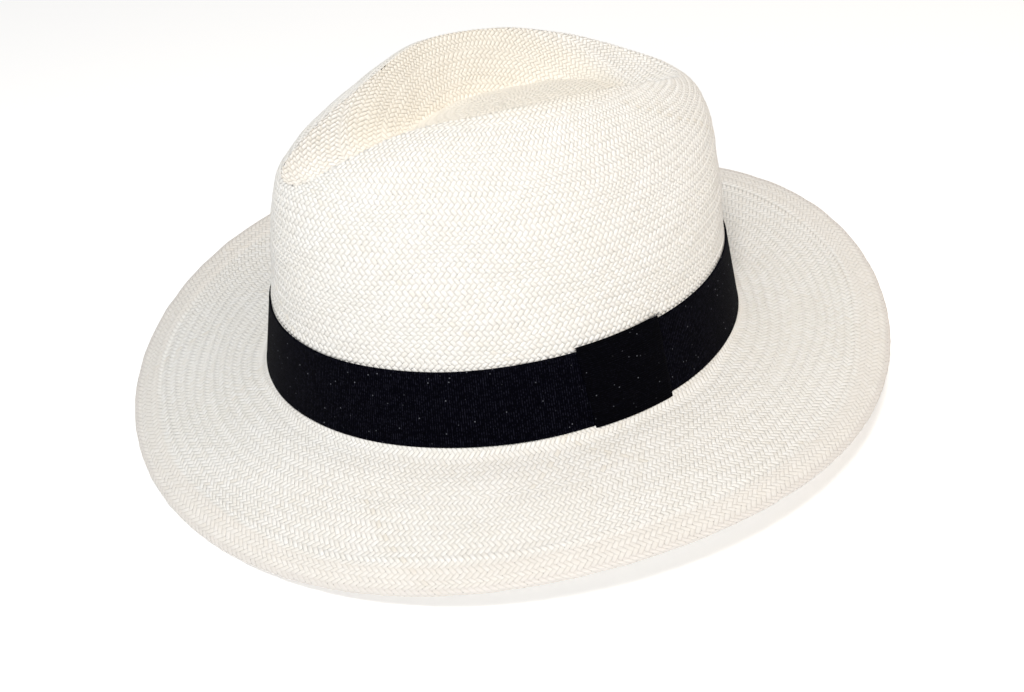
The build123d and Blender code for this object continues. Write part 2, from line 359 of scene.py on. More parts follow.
def thick_sheet(name, outer, inner, scale):
    """A closed sheet between two grids of points; scale turns millimetres into uv."""
    rows, columns = outer.shape[:2]
    down = running_total(step_lengths(outer, axis=0).mean(1))
    over = running_total(step_lengths(outer, axis=1).mean(0))
    corners = grid_faces(rows, columns)
    index = corners[..., 0] * columns + corners[..., 1]
    uv = np.stack([over[corners[..., 1]], down[corners[..., 0]]], -1) * scale
    half = rows * columns
    rim = [(0, c) for c in range(columns)] + [(r, columns - 1) for r in range(1, rows)]
    rim += [(rows - 1, c) for c in range(columns - 2, -1, -1)]
    rim += [(r, 0) for r in range(rows - 2, 0, -1)]
    faces = index.tolist() + (half + index[:, ::-1]).tolist()
    uvs = [uv, uv[:, ::-1]]
    edge_uv = []
    for (r, c), (s, d) in zip(rim, rim[1:] + rim[:1]):
        near, far = r * columns + c, s * columns + d
        faces.append([far, near, half + near, half + far])
        edge_uv.append(np.array([[over[d], down[s]], [over[c], down[r]]] * 2)[[0, 1, 3, 2]] * scale)
    uvs.append(np.array(edge_uv))
    verts = np.concatenate([outer.reshape(-1, 3), inner.reshape(-1, 3)])
    flat = np.concatenate([k.reshape(-1, 2) for k in uvs])
    return mesh_object(name, verts, faces, flat)


def finish_piece(piece, material, slot, *nodes):
    piece.data.materials.clear()
    piece.data.materials.append(material)
    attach(piece, "root")
    if nodes:
        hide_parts(*nodes)
    return piece


# ---- shader helpers -----------------------------------------------------------------------------
class Shader:
    """Builds a material's node tree from small expressions."""

    def __init__(self, name):
        self.material = bpy.data.materials.new(name)
        self.material.use_nodes = True
        self.tree = self.material.node_tree
        self.surface = self.tree.nodes["Principled BSDF"]

    def node(self, kind, **settings):
        made = self.tree.nodes.new(kind)
        for key, value in settings.items():
            setattr(made, key, value)
        return made

    def feed(self, socket, value):
        if isinstance(value, bpy.types.NodeSocket):
            self.tree.links.new(value, socket)
        else:
            socket.default_value = value

    def math(self, operation, *values):
        made = self.node("ShaderNodeMath", operation=operation)
        for socket, value in zip(made.inputs, values):
            self.feed(socket, value)
        return made.outputs[0]

    def add(self, a, b):
        return self.math("ADD", a, b)

    def sub(self, a, b):
        return self.math("SUBTRACT", a, b)

    def mul(self, a, b):
        return self.math("MULTIPLY", a, b)

    def mix(self, factor, a, b):
        """A number between a and b."""
        return self.add(a, self.mul(factor, self.sub(b, a)))

    def ramp(self, value, low, high, to_low=0.0, to_high=1.0):
        made = self.node("ShaderNodeMapRange", interpolation_type="SMOOTHSTEP")
        for socket, given in zip(made.inputs, (value, low, high, to_low, to_high)):
            self.feed(socket, given)
        return made.outputs[0]

    def vector(self, x, y, z=0.0):
        made = self.node("ShaderNodeCombineXYZ")
        for socket, value in zip(made.inputs, (x, y, z)):
            self.feed(socket, value)
        return made.outputs[0]

    def noise(self, where, scale, detail=2.0):
        made = self.node("ShaderNodeTexNoise")
        self.feed(made.inputs["Vector"], where)
        made.inputs["Scale"].default_value = scale
        made.inputs["Detail"].default_value = detail
        return made.outputs["Fac"]

    def voronoi(self, where, scale, feature):
        made = self.node("ShaderNodeTexVoronoi", feature=feature)
        self.feed(made.inputs["Vector"], where)
        made.inputs["Scale"].default_value = scale
        return made

    def random(self, x, y):
        made = self.node("ShaderNodeTexWhiteNoise", noise_dimensions="2D")
        self.feed(made.inputs["Vector"], self.vector(x, y))
        return made.outputs["Value"]

    def colours(self, factor, first, second):
        made = self.node("ShaderNodeMix", data_type="RGBA")
        self.feed(made.inputs["Factor"], factor)
        for socket, colour in ((made.inputs[6], first), (made.inputs[7], second)):
            self.feed(socket, colour if isinstance(colour, bpy.types.NodeSocket) else (*colour, 1))
        return made.outputs[2]

    def darken(self, colour, factor):
        """The colour times a number."""
        made = self.node("ShaderNodeVectorMath", operation="SCALE")
        self.feed(made.inputs[0], colour)
        self.feed(made.inputs["Scale"], factor)
        return made.outputs[0]

    def uv(self):
        coordinates = self.node("ShaderNodeUVMap")
        split = self.node("ShaderNodeSeparateXYZ")
        self.tree.links.new(coordinates.outputs[0], split.inputs[0])
        return split.outputs[0], split.outputs[1]

    def place(self):
        return self.node("ShaderNodeTexCoord").outputs["Object"]

    def bump(self, height, distance):
        made = self.node("ShaderNodeBump")
        made.inputs["Distance"].default_value = distance
        self.feed(made.inputs["Height"], height)
        return made.outputs[0]

    def set(self, **values):
        for key, value in values.items():
            self.feed(self.surface.inputs[key.replace("_", " ")], value)
        return self.material


def straw_material():
    """Two-over, two-under twill of flat bleached straws, woven on the slant in rows round the hat."""
    s = Shader("woven_toquilla_straw")
    u, v = s.uv()
    place = s.place()
    p, q = s.add(u, v), s.sub(v, u)
    i, j = s.math("FLOOR", q), s.math("FLOOR", p)
    across_a, across_b = s.math("FRACT", q), s.math("FRACT", p)
    step = s.math("FLOORED_MODULO", s.add(i, j), 4.0)
    over = s.math("LESS_THAN", step, 2.0)
    along_a = s.add(step, across_b)
    along_b = s.add(s.sub(step, 2.0), across_a)
    across = s.mix(over, across_b, across_a)
    along = s.mix(over, along_b, along_a)
    strand = s.mix(over, s.add(j, 0.37), i)
    piece_of_strand = s.mix(over, i, j)

    from_middle = s.math("ABSOLUTE", s.sub(s.mul(across, 2.0), 1.0))
    from_centre = s.math("ABSOLUTE", s.sub(along, 1.0))
    side = s.sub(1.0, s.math("POWER", from_middle, 5.0))
    bend = s.sub(1.0, s.math("POWER", from_centre, 4.0))
    height = s.mul(side, s.mix(bend, 0.45, 1.0))

    own = s.random(strand, 3.1)
    float_own = s.random(s.add(strand, 17.3), piece_of_strand)
    fibre = s.noise(s.vector(s.mul(across, 9.0), s.mul(along, 1.4), s.mul(strand, 5.7)), 1.0, 3.0)
    height = s.add(height, s.mul(fibre, 0.22))

    tone = s.add(s.mul(own, 0.42), s.add(s.mul(float_own, 0.28), s.mul(fibre, 0.45)))
    colour = s.colours(s.ramp(tone, 0.25, 0.95), STRAW_DARK, STRAW_LIGHT)
    patch = s.noise(place, 9.0, 3.0)
    colour = s.colours(s.ramp(patch, 0.35, 0.75, 0.0, 0.4), colour, STRAW_PATCH)
    tan = s.ramp(s.random(strand, 9.7), 0.975, 0.995)
    colour = s.colours(s.mul(tan, 0.22), colour, STRAW_TAN)
    hem = s.ramp(s.math("ABSOLUTE", s.add(v, 1.0)), HEM_ROWS + 0.3, HEM_ROWS + 1.0, 0.45, 0.0)
    colour = s.colours(hem, colour, HEM_TINT)
    # painted shade: the rows of the brim's rounded edge are greyed
    rim = s.ramp(s.math("ABSOLUTE", s.add(v, 0.8)), 0.8, 1.8, 0.5, 0.0)
    colour = s.colours(rim, colour, RIM_SHADE)
    # painted warm bounce light: the straw turns creamier past the ridge's row, inside the dent
    colour = s.colours(s.ramp(v, DENT_ROW - 2.0, DENT_ROW + 5.0, 0.0, 0.7), colour, PAINTED_DENT_BOUNCE)
    # painted shade: low parts of the relief are tinted towards the gap colour, and the holes at the
    # floats' corners are darkened by a random amount
    gap_shade = s.ramp(height, 0.05, 0.60, 0.24, 0.0)
    corner = s.mul(s.ramp(from_middle, 0.55, 0.95), s.ramp(from_centre, 0.62, 0.95))
    where_p, where_q = s.math("ROUND", p), s.math("ROUND", q)
    hole_shade = s.ramp(s.random(where_p, where_q), 0.70, 1.0, 0.05, 0.42)
    colour = s.colours(gap_shade, colour, STRAW_GAP_SHADE)
    colour = s.darken(colour, s.sub(1.0, s.mul(corner, hole_shade)))
    rough = s.ramp(fibre, 0.2, 0.8, 0.40, 0.62)
    return s.set(Base_Color=colour, Roughness=rough, Specular_IOR_Level=0.4,
                 Normal=s.bump(height, 0.00020))


def thread_material(name, light, dark, shine=0.5):
    s = Shader(name)
    place = s.place()
    twist = s.noise(place, 2600.0, 2.0)
    colour = s.colours(twist, dark, light)
    return s.set(Base_Color=colour, Roughness=0.75, Specular_IOR_Level=shine,
                 Normal=s.bump(twist, 0.00008))


def ribbon_material(name, base, sheen_colour, rib_highlight=0.35, level_ribs=False):
    """Matt black grosgrain; the ribs are in the mesh, the fine threads, the lint and a painted
    highlight along the ribs' tops are here.
    """
    s = Shader(name)
    u, v = s.uv()
    if level_ribs:
        u, v = v, u
    weft = s.math("SINE", s.mul(v, 2 * pi * 2.2))
    thread = s.math("SINE", s.mul(u, 2 * pi * 2.0))
    fuzz = s.noise(s.place(), 1400.0, 3.0)
    cells = s.voronoi(s.place(), 420.0, "F1")
    chosen = s.node("ShaderNodeSeparateColor")
    s.feed(chosen.inputs[0], cells.outputs["Color"])
    speck = s.mul(
        s.ramp(cells.outputs["Distance"], 0.16, 0.06), s.ramp(chosen.outputs[0], 0.55, 0.80)
    )
    colour = s.colours(s.ramp(fuzz, 0.3, 0.7), base, tuple(c * 2.1 for c in base))
    # painted highlight: lighter dashes along the tops of the ribs, scaled by the highlight strength
    rib_top = s.ramp(s.math("ABSOLUTE", s.math("SINE", s.mul(u, pi))), 0.70, 1.0)
    highlight_dashes = s.ramp(s.noise(s.vector(u, s.mul(v, 1.4), 0.5), 0.9, 2.0), 0.42, 0.70)
    colour = s.colours(s.mul(s.mul(rib_top, highlight_dashes), rib_highlight), colour, RIB_HIGHLIGHT)
    colour = s.colours(s.mul(speck, 0.6), colour, LINT)
    height = s.add(s.mul(weft, 0.25), s.add(s.mul(thread, 0.2), fuzz))
    return s.set(Base_Color=colour, Roughness=0.58, Specular_IOR_Level=0.02, Sheen_Weight=0.001,
                 Sheen_Roughness=0.4, Sheen_Tint=(*sheen_colour, 1), Normal=s.bump(height, 0.00006))


def leather_material(name, light, dark):
    s = Shader(name)
    place = s.place()
    cells = s.voronoi(place, 900.0, "DISTANCE_TO_EDGE")
    grain = s.ramp(cells.outputs["Distance"], 0.0, 0.25)
    cloud = s.noise(place, 60.0, 4.0)
    crease = s.noise(place, 340.0, 3.0)
    colour = s.colours(s.ramp(cloud, 0.3, 0.7), dark, light)
    colour = s.darken(colour, s.ramp(grain, 0.0, 1.0, 0.82, 1.0))
    height = s.add(grain, s.mul(crease, 0.8))
    return s.set(Base_Color=colour, Roughness=s.ramp(cloud, 0.2, 0.8, 0.42, 0.58),
                 Normal=s.bump(height, 0.00012))


def woven_tape_material(name, light, dark):
    s = Shader(name)
    u, v = s.uv()
    warp = s.math("SINE", s.mul(u, 2 * pi * 2.0))
    weft = s.math("SINE", s.mul(v, 2 * pi * 2.0))
    weave = s.mul(warp, weft)
    fuzz = s.noise(s.place(), 1200.0, 2.0)
    colour = s.colours(s.ramp(s.add(weave, fuzz), -0.5, 1.5), dark, light)
    return s.set(Base_Color=colour, Roughness=0.7, Sheen_Weight=0.2,
                 Normal=s.bump(s.add(weave, fuzz), 0.00008))


# ---- surfaces resampled by arc length -----------------------------------------------------------
class Surface:
    """A closed band of meridians, looked up by turn and by row of the weave.

    The rows share each meridian's own length out evenly, and the straws share each row's length
    out evenly, so every straw keeps its size over the ridges and the crease of a blocked hat.
    """

    COLUMNS = 720
    STEPS = 1200

    def __init__(self, runs, rows):
        """runs lists the surface's stretches, each as a function of turn and share, and its shares."""
        self.rows = rows
        turns = pi + 2 * pi * np.arange(self.COLUMNS) / self.COLUMNS
        places = np.stack([line(turns, share) for line, shares in runs for share in shares])
        lengths = step_lengths(places)
        travelled = np.concatenate([np.zeros((1, self.COLUMNS)), np.cumsum(lengths, axis=0)])
        wanted = np.linspace(0, 1, self.STEPS + 1)
        table = np.empty((self.STEPS + 1, self.COLUMNS, 3))
        for column in range(self.COLUMNS):
            share = travelled[:, column] / travelled[-1, column]
            table[:, column] = resample(wanted, share, places[:, column])
        even = np.arange(self.COLUMNS) / self.COLUMNS
        for step in range(self.STEPS):
            ring = np.vstack([table[step], table[step, :1]])
            travelled = running_total(step_lengths(ring))
            table[step] = resample(even, travelled / travelled[-1], ring)
        around = np.roll(table, -2, axis=1) - np.roll(table, 2, axis=1)
        along = np.gradient(table, axis=0)
        cross = np.cross(around, along)
        size = np.maximum(np.linalg.norm(cross, axis=-1, keepdims=True), 1e-12)
        self.normals = cross / size
        self.table = table

    def look_up(self, table, turn, row):
        column = ((turn - pi) / (2 * pi) % 1.0) * self.COLUMNS
        step = np.clip(row / self.rows, 0.0, 1.0) * self.STEPS
        c, s = np.floor(column).astype(int), np.minimum(np.floor(step).astype(int), self.STEPS - 1)
        column_rest, step_rest = (column - c)[..., None], (step - s)[..., None]
        left, right = c % self.COLUMNS, (c + 1) % self.COLUMNS
        low = table[s, left] * (1 - column_rest) + table[s, right] * column_rest
        high = table[s + 1, left] * (1 - column_rest) + table[s + 1, right] * column_rest
        return low * (1 - step_rest) + high * step_rest

    def at(self, turn, row):
        normal = unit(self.look_up(self.normals, turn, row))
        return self.look_up(self.table, turn, row), normal

    def girth(self, row):
        turns = np.linspace(0, 2 * pi, 361)
        ring = self.look_up(self.table, turns, np.full_like(turns, row))
        return step_lengths(ring).sum()


# ---- woven relief -------------------------------------------------------------------------------
def float_height(p, q, groove):
    """Height from 0 to 1 of a two-over, two-under twill at strand coordinates p and q.

    groove is how deep the lines between side-by-side straws are, as a share of the relief.
    """
    i, j = np.floor(q), np.floor(p)
    across_a, across_b = q - i, p - j
    step = np.mod(i + j, 4)
    over = step < 2
    along = np.where(over, step + across_b, step - 2 + across_a)
    across = np.where(over, across_a, across_b)
    side = 1 - groove * np.abs(2 * across - 1) ** 2.4
    return side * (1 - 0.90 * np.abs(along - 1) ** 2.2)


def weave_height(p, q, groove):
    """float_height at a point that may lie on the border of two floats."""
    near = 0.02
    corners = [(near, near), (near, -near), (-near, near), (-near, -near)]
    return sum(float_height(p + dp, q + dq, groove) for dp, dq in corners) / 4


class Rings:
    """A mesh made of rings one after another, each joined to the one before it."""

    def __init__(self, seed):
        self.verts, self.faces, self.uvs, self.normals = [], [], [], []
        self.count = 0
        self.last = None
        self.random = np.random.default_rng(seed)

    def add_points(self, places):
        start = self.count
        self.verts.append(places)
        self.count += len(places)
        return start

    def add_faces(self, corners, uvs, normals=None):
        """Faces; where no normals are given, the mesh's own smooth ones are kept."""
        self.faces.extend(corners.tolist())
        self.uvs.append(uvs.reshape(-1, 2))
        if normals is None:
            normals = np.zeros((corners.size, 3))
        self.normals.append(normals.reshape(-1, 3))

    def ring(self, places, fractions, cells, row, join=True):
        """A plain ring of points; fractions are their shares of the way round, from 0."""
        start = self.add_points(places)
        ring = dict(start=start, fractions=np.asarray(fractions), cells=cells, row=row)
        if join and self.last is not None:
            self.join(self.last, ring)
        self.last = ring
        return ring

    @staticmethod
    def spans(ring):
        """Where each step of a ring starts and ends, in cells of the weave."""
        after = np.append(ring["fractions"][1:], 1 + ring["fractions"][0])
        return ring["fractions"] * ring["cells"], after * ring["cells"]

    def join(self, a, b):
        """Triangles or quads between two rings, b further along than a."""
        m, n = len(a["fractions"]), len(b["fractions"])
        if m == n and np.allclose(a["fractions"], b["fractions"]):
            k = np.arange(m)
            after = (k + 1) % m
            corners = np.stack(
                [a["start"] + k, a["start"] + after, b["start"] + after, b["start"] + k], -1
            )
            here, there = self.spans(a)
            u = np.stack([here, there, there, here], -1)
            v = np.broadcast_to([a["row"], a["row"], b["row"], b["row"]], u.shape)
            self.add_faces(corners, np.stack([u, v], -1))
            return
        f = np.append(a["fractions"], 1 + a["fractions"][0])
        g = np.append(b["fractions"], 1 + b["fractions"][0])
        corners, uvs = [], []
        i = j = 0
        while i < m or j < n:
            if j >= n or (i < m and f[i + 1] <= g[j + 1]):
                corners.append([a["start"] + i, a["start"] + (i + 1) % m, b["start"] + j % n])
                uvs.append([(f[i], a["row"]), (f[i + 1], a["row"]), (g[j], b["row"])])
                i += 1
            else:
                corners.append([a["start"] + i % m, b["start"] + (j + 1) % n, b["start"] + j])
                uvs.append([(f[i], a["row"]), (g[j + 1], b["row"]), (g[j], b["row"])])
                j += 1
        uvs = np.array(uvs) * [a["cells"], 1.0]
        self.add_faces(np.array(corners), uvs)

    def fan(self, centre, row, opening):
        """Joins the last ring to a centre point; opening is for a surface that starts there."""
        hub = self.add_points(np.array([centre]))
        ring = self.last
        m = len(ring["fractions"])
        k = np.arange(m)
        here, there = self.spans(ring)
        corners = np.stack([ring["start"] + k, ring["start"] + (k + 1) % m, np.full(m, hub)], -1)
        u = np.stack([here, there, (here + there) / 2], -1)
        v = np.broadcast_to([ring["row"], ring["row"], row], u.shape)
        order = slice(None, None, -1 if opening else 1)
        self.add_faces(corners[:, order], np.stack([u, v], -1)[:, order])

    def twill(self, surface, cells, first, last, steepen, groove, depth_at, lift_at):
        """Rows first to last of real woven relief, on a lattice of half strands.

        depth_at(turn, row) is the relief's depth and lift_at(turn, row) moves the surface; steepen
        moves the straws along each row, as a share of a cell.
        """
        begin = 4 * first + (1 if self.last is not None and self.last["row"] == first else 0)
        p_shift = self.random.normal(0, STRAW_SLIP, cells)
        q_shift = self.random.normal(0, STRAW_SLIP, cells)
        strand_lift = self.random.normal(0, STRAW_LIFT, (2, cells))
        starts, slopes = {}, {}

        def lifted(turn, row):
            place, normal = surface.at(turn, row)
            return place + normal * lift_at(turn, row)[:, None]

        for b in range(begin, 4 * last + 1):
            u = (2 * np.arange(2 * cells) + b % 2) / 4
            v = np.full_like(u, b / 4)
            p, q = u + v, v - u
            inner = 1.0 if begin + 1 < b < 4 * last - 1 else 0.0
            shifted_p = p + inner * self.between(p_shift, p, cells)
            shifted_q = q + inner * self.between(q_shift, q, cells)
            zigzag = steepen * np.cos(pi * (v - 0.25)) * inner
            zigzag_slope = -steepen * pi * np.sin(pi * (v - 0.25)) * inner
            turn = pi + 2 * pi * ((shifted_p - shifted_q) / 2 + zigzag) / cells
            row = (shifted_p + shifted_q) / 2
            sway = 0.35 * np.sin(5 * turn + 0.31 * v) + 0.22 * np.sin(11 * turn - 0.47 * v + 1.3)
            row = row + inner * sway * smooth_step((v - first) / 3) * smooth_step((last - v) / 3)
            base, normal = surface.at(turn, row)
            quarter = 2 * pi * 0.25 / cells
            step_u = (lifted(turn + quarter, row) - lifted(turn - quarter, row)) * 2
            step_v = (lifted(turn, row + 0.25) - lifted(turn, row - 0.25)) * 2
            step_v = step_v + step_u * zigzag_slope[:, None]
            slopes[b] = (step_u + step_v) / 2, (step_v - step_u) / 2, normal, depth_at(turn, v)
            height = weave_height(p, q, groove) - RELIEF_MIDDLE
            lift = self.between(strand_lift[0], p + 0.5, cells)
            lift = lift + self.between(strand_lift[1], q + 0.5, cells)
            height = (height + inner * lift) * depth_at(turn, v)
            places = base + normal * (height + lift_at(turn, v))[:, None]
            starts[b] = self.ring(places, u / cells, cells, b / 4, join=b == begin)["start"]
        count = 2 * cells

        def corner(a, b):
            return starts[b] + ((a - b % 2) // 2) % count

        def quarter_uv(a, b):
            return np.stack([a / 4, np.full(a.shape, b / 4)], -1)

        def corner_normal(a, b, centre_a, centre_b):
            """The relief's own normal, just inside a face whose centre is given."""
            inside_a, inside_b = a + 0.2 * (centre_a - a), b + 0.2 * (centre_b - b)
            p, q, near = (inside_a + inside_b) / 4, (inside_b - inside_a) / 4, 0.03
            rise_p = float_height(p + near, q, groove) - float_height(p - near, q, groove)
            rise_q = float_height(p, q + near, groove) - float_height(p, q - near, groove)
            index = ((a - b % 2) // 2) % count
            along_p, along_q, normal, depth = [part[index] for part in slopes[b]]
            tangent_p = along_p + normal * (RELIEF_SHADE * depth * rise_p / (2 * near))[:, None]
            tangent_q = along_q + normal * (RELIEF_SHADE * depth * rise_q / (2 * near))[:, None]
            cross = np.cross(tangent_p, tangent_q)
            return cross / np.maximum(np.linalg.norm(cross, axis=-1, keepdims=True), 1e-9)

        for b in range(begin + 1, 4 * last):
            a = 2 * np.arange(count) + (b - 1) % 2
            around = [(a, b - 1), (a + 1, b), (a, b + 1), (a - 1, b)]
            self.add_faces(
                np.stack([corner(*k) for k in around], -1),
                np.stack([quarter_uv(*k) for k in around], 1),
                np.stack([corner_normal(*k, a, b) for k in around], 1),
            )
        for b, onward in ((begin, 1), (4 * last, -1)):
            a = 2 * np.arange(count) + b % 2
            around = [(a, b), (a + 2, b), (a + 1, b + onward)][::onward]
            self.add_faces(
                np.stack([corner(*k) for k in around], -1),
                np.stack([quarter_uv(*k) for k in around], 1),
            )

    @staticmethod
    def between(values, place, cells):
        """values at whole strand lines, and their mean half way between two."""
        low = np.floor(place + 1e-6).astype(int)
        high = np.ceil(place - 1e-6).astype(int)
        return (values[low % cells] + values[high % cells]) / 2

    def piece(self, name):
        normals = np.concatenate(self.normals)
        return mesh_object(
            name, np.concatenate(self.verts), self.faces, np.concatenate(self.uvs),
            normals if normals.any() else None,
        )


# ---- straw body ---------------------------------------------------------------------------------
def brim_runs():
    def slope(turn, share):
        return brim_point(turn, (edge_reach(turn) - EDGE_ROUND) * (1 - share) + FILLET * share)

    return [
        (slope, np.linspace(0, 1, 70)),
        (break_point, np.linspace(0, 1, 12)[1:]),
        (wall_point, np.linspace(FILLET, JOIN_HEIGHT, 4)[1:]),
    ]


def crown_runs():
    return [
        (wall_point, np.linspace(JOIN_HEIGHT, LEAN_HEIGHT, 12)),
        (side_point, np.linspace(0, 1, 80)[1:]),
        (inside_point, np.linspace(0, 1, 50)[1:]),
        (floor_point, np.linspace(0, 1, 50)[1:]),
    ]


def unevenness(turn, row):
    """Gentle waves of a shell blocked and pressed by hand."""
    wave = 0.20 * np.sin(3 * turn + 1.0 + 0.21 * row) + 0.14 * np.sin(7 * turn + 0.37 * row)
    wave += 0.10 * np.sin(13 * turn - 0.63 * row + 2.0)
    return wave + 0.06 * np.sin(2 * pi * row / 5.3 + 2 * np.sin(2 * turn))


def straw_brim():
    surface = Surface(brim_runs(), BRIM_ROWS)
    mesh = Rings(seed=11)
    hem = HEM_ROWS

    def lift(turn, row):
        groove = -0.30 * bell((row - hem) / 0.40)
        swell = 0.25 * (1 - smooth_step((row - hem + 1.2) / 0.8)) * smooth_step(row / 1.5)
        swell = swell + 0.07 * np.sin(2 * pi * row / 1.45) * (1 - smooth_step(row - hem + 0.6))
        swell = swell + 0.22 * bell((row - hem - 0.8) / 0.45)
        wobble = 0.10 * np.sin(37 * turn) + 0.08 * np.sin(61 * turn + 1.7)
        wobble = wobble * (1 - smooth_step(row / 4))
        free = smooth_step(row / 3) * smooth_step((BRIM_ROWS - row) / 6)
        return unevenness(turn, row) * free + groove + swell + wobble

    def depth(turn, row):
        fade = smooth_step((BRIM_ROWS - row) / 1.5) * smooth_step(row / 0.8)
        plain = 0.30 + 0.70 * smooth_step((row - hem + 0.6) / 0.8)
        return 0.92 * RELIEF * fade * (plain + 0.35 * bell((row - hem - 0.9) / 0.6))

    def under(columns, rows, thickness):
        fractions, turn = round_from_back(columns)
        for row, thick in zip(rows, thickness):
            base, normal = surface.at(turn, np.full(columns, row))
            places = base + normal * (lift(turn, row) - thick)[:, None]
            cells = INNER_CELLS if row > INCREASE_ROW else OUTER_CELLS
            mesh.ring(places, fractions, cells, -2.0 - row)

    plain_rows = np.arange(BRIM_ROWS, hem + 1.0, -0.75)
    under(UNDER_COLUMNS, plain_rows, np.full(len(plain_rows), STRAW))
    fine = 2 * OUTER_CELLS
    hem_rows = np.array([hem + 0.8, hem + 0.35, hem + 0.1, hem - 0.15, 3.4, 2.3, 1.2, 0.5, 0.0])
    hem_thick = np.array([1.0, 1.05, 1.75, 2.0, 2.0, 2.0, 2.0, 2.0, 1.95]) * STRAW
    under(fine, hem_rows, hem_thick)

    fractions, turn = round_from_back(fine)
    top, normal = surface.at(turn, np.zeros(fine))
    inward = surface.at(turn, np.full(fine, 0.5))[0]
    outward = unit(top - inward)
    top = top + normal * lift(turn, 0.0)[:, None]
    half = 0.98 * STRAW
    middle = top - normal * half
    rough = 0.16 * np.sin(53 * turn + 0.6) + 0.12 * np.sin(97 * turn) + 0.10 * np.sin(151 * turn)
    fray = np.random.default_rng(5).normal(0, 0.10, fine)
    for angle in np.linspace(pi, 0, 9)[1:-1]:
        out = (EDGE_ROUND * sin(angle)) * (1 + 0.25 * rough + 0.35 * fray * sin(angle) ** 4)
        places = middle + normal * (half * cos(angle)) + outward * out[:, None]
        mesh.ring(places, fractions, OUTER_CELLS, -2.0 * angle / pi)
    zones = [(OUTER_CELLS, 0, INCREASE_ROW), (INNER_CELLS, INCREASE_ROW, BRIM_ROWS)]
    for cells, start, end in zones:
        mesh.twill(surface, cells, start, end, BRIM_ZIGZAG, BRIM_GROOVE, depth, lift)
    first_ring = dict(start=0, fractions=round_from_back(UNDER_COLUMNS)[0],
                      cells=INNER_CELLS, row=BRIM_ROWS + 0.5)
    mesh.join(mesh.last, first_ring)
    return mesh.piece("straw_brim")


def straw_crown():
    surface = Surface(crown_runs(), CROWN_ROWS)
    mesh = Rings(seed=23)

    def lift(turn, row):
        free = smooth_step((row - 11) / 6) * smooth_step((CROWN_ROWS - row) / 8)
        return unevenness(turn, row + BRIM_ROWS) * free

    def depth(turn, row):
        return RELIEF * smooth_step(row / 1.5) * (1 - 0.4 * smooth_step((row - DENT_ROW) / 6))

    zones, cells, start = [], CROWN_CELLS, 0
    for row in range(1, CROWN_ROWS - 1):
        pitch = surface.girth(row) / cells
        if pitch < NARROWEST_CELL:
            zones.append((cells, start, row))
            cells, start = max(int(round(surface.girth(row) / WIDEST_CELL)), 5), row
    zones.append((cells, start, CROWN_ROWS - 1))

    # The inner face, from the centre down to the join.
    columns = 200
    fractions, turn = round_from_back(columns)
    centre = surface.at(np.array([pi]), np.array([float(CROWN_ROWS)]))[0]
    hub = centre[0] - np.array([0, 0, STRAW])
    for row in np.arange(CROWN_ROWS - 1.0, -0.01, -1.0):
        base, normal = surface.at(turn, np.full(columns, row))
        places = base + normal * (lift(turn, row) - STRAW)[:, None]
        ring_cells = next(c for c, low, high in zones if low <= row <= high)
        mesh.ring(places, fractions, ring_cells, -row)
        if row == CROWN_ROWS - 1:
            mesh.fan(hub, -float(CROWN_ROWS), opening=True)
    for cells, start, end in zones:
        mesh.twill(surface, cells, start, end, CROWN_ZIGZAG, 1.0, depth, lift)
    top = centre[0] + np.array([0, 0, 0.1])
    mesh.fan(top, float(CROWN_ROWS), opening=False)
    return mesh.piece("straw_crown")


def hoop(name, sections, rows, cells):
    """A closed tube round the hat, from the rings of points that follow its section."""
    mesh = Rings(seed=0)
    fractions = round_from_back(len(sections[0]))[0]
    rings = [mesh.ring(places, fractions, cells, row) for places, row in zip(sections, rows)]
    mesh.join(mesh.last, rings[0])
    return mesh.piece(name)


# ---- ribbon -------------------------------------------------------------------------------------
def rib_height(phase):
    """Rounded rib of grosgrain, 0 in the groove and 1 on top; one rib for each whole phase."""
    return np.abs(np.sin(pi * phase)) ** 0.7


def ribbon_band():
    count = RIBS_ROUND * 4
    turn = round_from_back(count)[1]
    rib = RIB_DEPTH * rib_height(np.arange(count) / 4)
    sway = 0.10 * np.sin(3 * turn + 0.5) + 0.06 * np.sin(7 * turn + 1.0)
    low = BAND_BOTTOM + 0.15 * np.sin(2 * turn + 0.4) + 0.08 * np.sin(9 * turn) - 0.3 * rib
    high = BAND_TOP + 0.15 * np.sin(2 * turn + 2.0) + 0.07 * np.sin(11 * turn + 1.0) + 0.5 * rib
    face = BAND_OUT - RIB_DEPTH
    profile = [(0.010, 0.12, 0.0), (0.0, 0.30, 0.0), (-0.004, 0.55, 0.4), (0.004, face + 0.04, 0.6)]
    profile += [(share, face + 0.06, 1.0) for share in (0.018, 0.034)]
    profile += [(share, face, 1.0) for share in np.linspace(0.05, 0.95, 13)]
    profile += [(share, face + 0.06, 1.0) for share in (0.966, 0.982)]
    profile += [(0.996, face + 0.04, 0.6), (1.004, 0.55, 0.4), (1.0, 0.30, 0.0), (0.990, 0.12, 0.0)]
    sections = []
    for share, out, ribbed in profile:
        grow = out + rib * ribbed + np.abs(sway) * min(out, 1.0)
        sections.append(wall_point(turn, low + (high - low) * share, grow))
    rows = [share * (BAND_TOP - BAND_BOTTOM) for share, _, _ in profile]
    return hoop("ribbon_band_woven", sections, rows, RIBS_ROUND)


def left_turn(y, height, grow):
    """The turn at which the wearer's left side of the wall reaches a given y."""
    return np.arccos(np.clip(-y / wall_half_length(height, grow), -1, 1))


